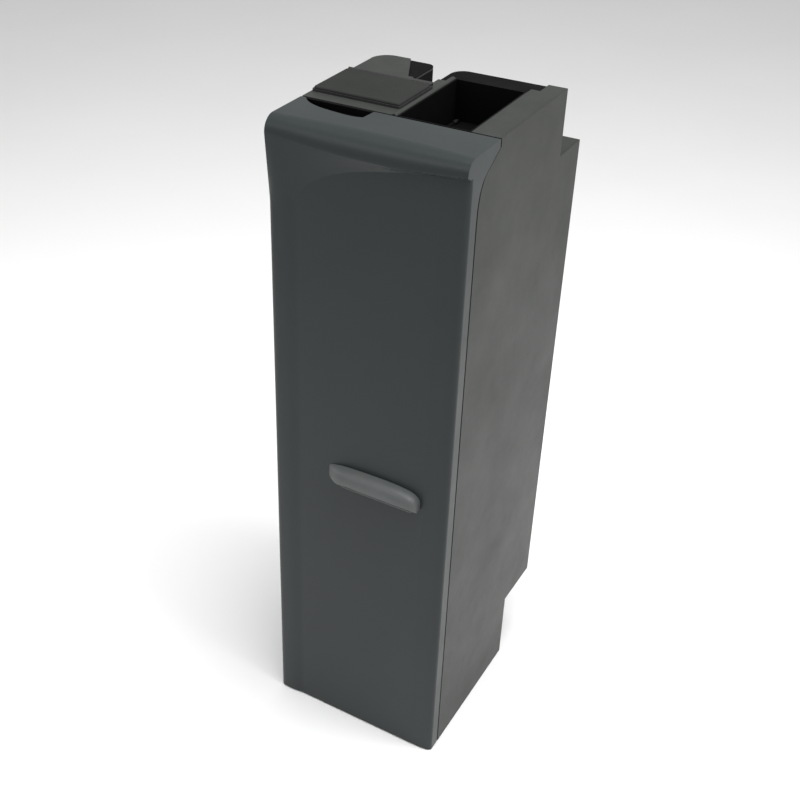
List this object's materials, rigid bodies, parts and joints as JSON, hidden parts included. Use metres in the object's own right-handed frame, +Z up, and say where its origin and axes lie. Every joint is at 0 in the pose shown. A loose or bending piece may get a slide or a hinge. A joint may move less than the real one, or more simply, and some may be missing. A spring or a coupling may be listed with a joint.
{
  "type": "trash compactor",
  "caption": "Slim free-standing trash compactor with a full-height pull-out drawer, rounded cap, hooded grip, top feed opening, lidded control bay and rear drive housing.",
  "frame": {"origin": "bottom centre of the bounding box, on the floor", "axes": "+Z up; the user stands on the -Y side in front of the drawer; +X is the user's right"},
  "size_m": [0.28, 0.376, 1.0071],
  "materials": {
    "cabinet_paint": "satin",
    "galvanised": "satin",
    "nylon": "satin",
    "fastener_zinc": "zinc",
    "deck_plastic": "satin",
    "black_plastic": "matt",
    "blackened_steel": "blackened",
    "gloss_black": "gloss",
    "liner_grey": "satin",
    "carbon": "felt",
    "lid_plastic": "satin",
    "pad_mat": "textured",
    "screw_steel": "machined",
    "button_green": "gloss",
    "chrome": "polished",
    "lamp": "gloss",
    "front_paint": "satin",
    "grip_plastic": "satin",
    "bucket_steel": "powder coat",
    "ram_paint": "powder coat",
    "bronze": "machined",
    "motor_can": "satin",
    "aluminium": "machined",
    "rubber": "matt",
    "board_green": "satin",
    "magnet": "matt"
  },
  "bodies": {
    "cabinet": {"left_side_panel": "cabinet_paint", "right_side_panel": "cabinet_paint", "base_pan": "galvanised", "floor_glides": "nylon", "lower_rear_panel": "cabinet_paint", "rear_bulkhead": "cabinet_paint", "drive_housing_cover": "cabinet_paint", "housing_cover_screws": "fastener_zinc", "top_deck": "deck_plastic", "rear_deck_trim": "black_plastic", "rear_notch_liner": "black_plastic", "feed_chute_liner": "black_plastic", "feed_flap_spring": "blackened_steel", "bay_tray": "black_plastic", "control_panel": "gloss_black", "filter_cartridge": "liner_grey", "filter_media": "carbon", "lid_hinge_lugs": "lid_plastic", "start_switch": "black_plastic", "key_switch": "galvanised", "indicator_lamp": "lamp", "outer_rails": "galvanised", "lower_screw_bearings": "aluminium", "upper_screw_bearings": "aluminium", "drive_motor": "motor_can", "motor_bracket": "galvanised", "drive_belt": "rubber", "control_board": "board_green", "power_inlet": "black_plastic", "magnet_catches": "magnet", "drawer_switch": "black_plastic"},
    "drawer": {"drawer_front": "front_paint", "drawer_front_liner": "liner_grey", "finger_scoop_cup": "black_plastic", "drawer_grip": "grip_plastic", "bucket": "bucket_steel", "bucket_brackets": "galvanised", "bracket_screws": "fastener_zinc", "bag_hooks": "nylon", "inner_rails": "galvanised"},
    "rail_sliders": {"middle_rails": "galvanised"},
    "ram": {"crosshead": "ram_paint", "ram_arms": "ram_paint", "screw_nuts": "bronze", "tilt_gearmotor": "motor_can"},
    "platen": {"platen": "ram_paint", "platen_pin": "screw_steel"},
    "left_screw": {"left_power_screw": "screw_steel", "left_screw_pulley": "aluminium"},
    "right_screw": {"right_power_screw": "screw_steel", "right_screw_pulley": "aluminium"},
    "motor_shaft": {"motor_pulley": "aluminium"},
    "feed_flap": {"feed_flap": "black_plastic", "feed_flap_pin": "blackened_steel"},
    "bay_lid": {"bay_lid": "lid_plastic", "bay_lid_pad": "pad_mat", "lid_hinge_pin": "screw_steel"},
    "start_button": {"start_button": "button_green"},
    "key_knob": {"key_knob": "chrome"}
  },
  "joints": [
    {"name": "drawer_slide", "type": "slide", "parent": "cabinet", "child": "drawer", "axis": [0, -1, 0], "range_m": [0, 0.23]},
    {"name": "rail_slider_slide", "type": "slide", "parent": "cabinet", "child": "rail_sliders", "axis": [0, -1, 0], "range_m": [0, 0.115]},
    {"name": "ram_slide", "type": "slide", "parent": "cabinet", "child": "ram", "axis": [0, 0, -1], "range_m": [0, 0.44]},
    {"name": "platen_tilt", "type": "hinge", "parent": "ram", "child": "platen", "pos_m": [0, 0.096, 0.64], "axis": [1, 0, 0], "range_deg": [0, 90]},
    {"name": "left_screw_turn", "type": "hinge", "parent": "cabinet", "child": "left_screw", "pos_m": [-0.095, 0.152, 0.3], "axis": [0, 0, 1], "range_deg": [0, 15841]},
    {"name": "right_screw_turn", "type": "hinge", "parent": "cabinet", "child": "right_screw", "pos_m": [0.095, 0.152, 0.3], "axis": [0, 0, 1], "range_deg": [0, 15841]},
    {"name": "motor_turn", "type": "hinge", "parent": "cabinet", "child": "motor_shaft", "pos_m": [0, 0.163, 0.3], "axis": [0, 0, 1], "range_deg": [0, 31682]},
    {"name": "feed_flap_hinge", "type": "hinge", "parent": "cabinet", "child": "feed_flap", "pos_m": [0.006, 0, 0.944], "axis": [0, 1, 0], "range_deg": [0, 85], "stiffness_Nm_per_rad": 0.06, "springref_deg": -143.24},
    {"name": "bay_lid_hinge", "type": "hinge", "parent": "cabinet", "child": "bay_lid", "pos_m": [0, 0.025, 1.0034], "axis": [-1, 0, 0], "range_deg": [0, 95]},
    {"name": "start_button_press", "type": "slide", "parent": "cabinet", "child": "start_button", "axis": [0, 0, -1], "range_m": [0, 0.0025], "stiffness_N_per_m": 300, "springref_m": -0.003},
    {"name": "key_switch_turn", "type": "hinge", "parent": "cabinet", "child": "key_knob", "pos_m": [-0.058, -0.032, 0.98], "axis": [0, 0, 1], "range_deg": [-60, 0]}
  ],
  "couplings": [
    {"joint": "rail_slider_slide", "follows": "drawer_slide", "ratio": 0.5},
    {"joint": "left_screw_turn", "follows": "ram_slide", "rad_per_m": 628.32},
    {"joint": "right_screw_turn", "follows": "ram_slide", "rad_per_m": 628.32},
    {"joint": "motor_turn", "follows": "ram_slide", "rad_per_m": 1256.6}
  ]
}
